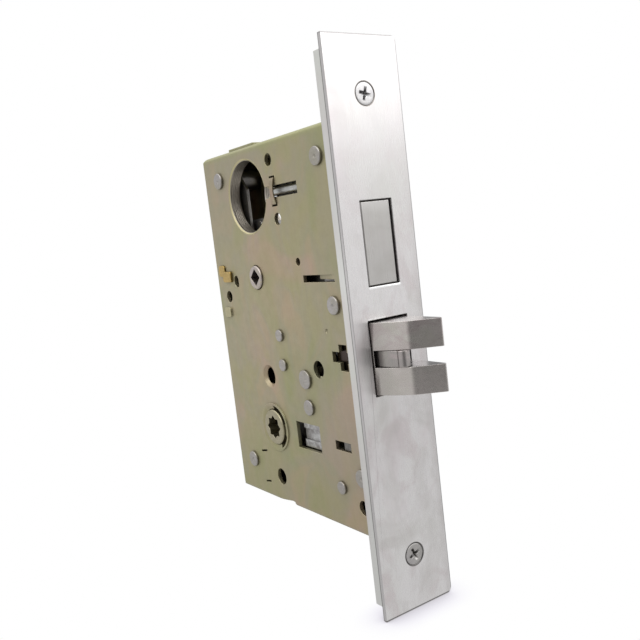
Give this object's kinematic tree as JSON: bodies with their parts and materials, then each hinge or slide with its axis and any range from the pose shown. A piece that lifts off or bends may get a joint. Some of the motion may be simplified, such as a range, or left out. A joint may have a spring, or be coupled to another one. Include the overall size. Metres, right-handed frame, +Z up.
{
  "type": "mortise lock",
  "caption": "Mortise lock with armored front, throwing deadbolt, split anti-friction latchbolt, turn hub, lever hubs and threaded cylinder seat in a flat sheet case.",
  "frame": {"origin": "centre of the armor front's outer face", "axes": "+Z up along the front, -Y outward (the way both bolts project), +Y into the case, +X to the right seen from the front"},
  "size_m": [0.0318, 0.1256, 0.2032],
  "materials": {
    "stainless": "satin, vertically brushed",
    "bolt_stainless": "satin",
    "latch_stainless": "satin, warm grey",
    "screw_steel": "bright nickel plate",
    "zinc_steel": "clear zinc plate",
    "case_zinc": "yellow dichromate zinc plate, satin",
    "hub_zinc": "yellow dichromate zinc plate, satin",
    "stud_steel": "clear zinc plate",
    "hard_steel": "ground, hardened",
    "ring_steel": "turned thread",
    "spring_steel": "drawn wire",
    "brass": "satin"
  },
  "bodies": {
    "case": {"armor_front": "stainless", "armor_front_screws": "screw_steel", "inner_front": "zinc_steel", "case_body": "case_zinc", "case_cover": "case_zinc", "case_posts": "stud_steel", "cover_screws": "screw_steel", "front_brackets": "zinc_steel", "front_bracket_screws": "screw_steel", "cylinder_ring_outside": "ring_steel", "cylinder_ring_inside": "ring_steel", "clamp_screw_nut": "zinc_steel", "clamp_screw_clip": "case_zinc", "back_edge_catch": "brass", "latch_guide": "zinc_steel", "latch_guide_posts": "stud_steel", "retractor_post": "stud_steel", "limit_stud": "stud_steel", "spacer_post": "stud_steel", "deadbolt_guide_stud": "stud_steel", "hub_spring_stop": "zinc_steel"},
    "deadbolt": {"deadbolt_head": "bolt_stainless", "deadbolt_tail": "zinc_steel", "deadbolt_tail_rivets": "stud_steel", "deadbolt_roller_pins": "hard_steel", "deadbolt_key_lugs": "stud_steel"},
    "turn": {"turn_hub": "stud_steel", "turn_arm_pin": "stud_steel"},
    "latchbolt": {"latchbolt_head": "latch_stainless", "latch_yoke": "zinc_steel", "latch_rod": "stud_steel", "latch_rod_nut": "screw_steel", "latch_spring": "spring_steel", "tongue_pin": "hard_steel"},
    "tongue": {"friction_tongue": "latch_stainless"},
    "retractor": {"retractor_lever": "zinc_steel"},
    "slide": {"hub_slide": "zinc_steel", "hub_spring": "spring_steel"},
    "outside_hub": {"lever_hub_outside": "hub_zinc"},
    "inside_hub": {"lever_hub_inside": "hub_zinc"},
    "key_retractor": {"key_lever": "zinc_steel"},
    "clamp": {"clamp_screw": "screw_steel"}
  },
  "joints": [
    {"name": "deadbolt_throw", "type": "slide", "parent": "case", "child": "deadbolt", "axis": [0, -1, 0], "range_m": [0, 0.0254]},
    {"name": "turn_hub_rotate", "type": "hinge", "parent": "case", "child": "turn", "pos_m": [0, 0.06985, 0.0219], "axis": [1, 0, 0], "range_deg": [0, 109]},
    {"name": "latch_retract", "type": "slide", "parent": "case", "child": "latchbolt", "axis": [0, 1, 0], "range_m": [0, 0.01905], "stiffness_N_per_m": 300, "springref_m": -0.01, "deforming": ["latch_spring"]},
    {"name": "tongue_pivot", "type": "hinge", "parent": "latchbolt", "child": "tongue", "pos_m": [-0.0032, 0.0065, -0.008], "axis": [0, 0, 1], "range_deg": [0, 16]},
    {"name": "retractor_pivot", "type": "hinge", "parent": "case", "child": "retractor", "pos_m": [0, 0.041, -0.0298], "axis": [1, 0, 0], "range_deg": [-51.82, 0]},
    {"name": "hub_slide_travel", "type": "slide", "parent": "case", "child": "slide", "axis": [0, -1, 0], "range_m": [0, 0.009], "deforming": ["hub_spring"]},
    {"name": "outside_lever_hub", "type": "hinge", "parent": "case", "child": "outside_hub", "pos_m": [0, 0.06985, -0.0418], "axis": [1, 0, 0], "range_deg": [0, 45]},
    {"name": "inside_lever_hub", "type": "hinge", "parent": "case", "child": "inside_hub", "pos_m": [0, 0.06985, -0.0418], "axis": [1, 0, 0], "range_deg": [0, 45]},
    {"name": "key_lever_swing", "type": "hinge", "parent": "case", "child": "key_retractor", "pos_m": [0, 0.092, 0.064], "axis": [1, 0, 0], "range_deg": [0, 15.24]},
    {"name": "clamp_screw_advance", "type": "slide", "parent": "case", "child": "clamp", "axis": [0, 1, 0], "range_m": [0, 0.0015]}
  ],
  "couplings": [
    {"joint": "turn_hub_rotate", "follows": "deadbolt_throw", "rad_per_m": 74.898},
    {"joint": "retractor_pivot", "follows": "latch_retract", "rad_per_m": -47.473},
    {"joint": "hub_slide_travel", "follows": "latch_retract", "ratio": 0.47248},
    {"joint": "outside_lever_hub", "follows": "latch_retract", "rad_per_m": 41.228},
    {"joint": "inside_lever_hub", "follows": "latch_retract", "rad_per_m": 41.228},
    {"joint": "key_lever_swing", "follows": "latch_retract", "rad_per_m": 13.958}
  ]
}
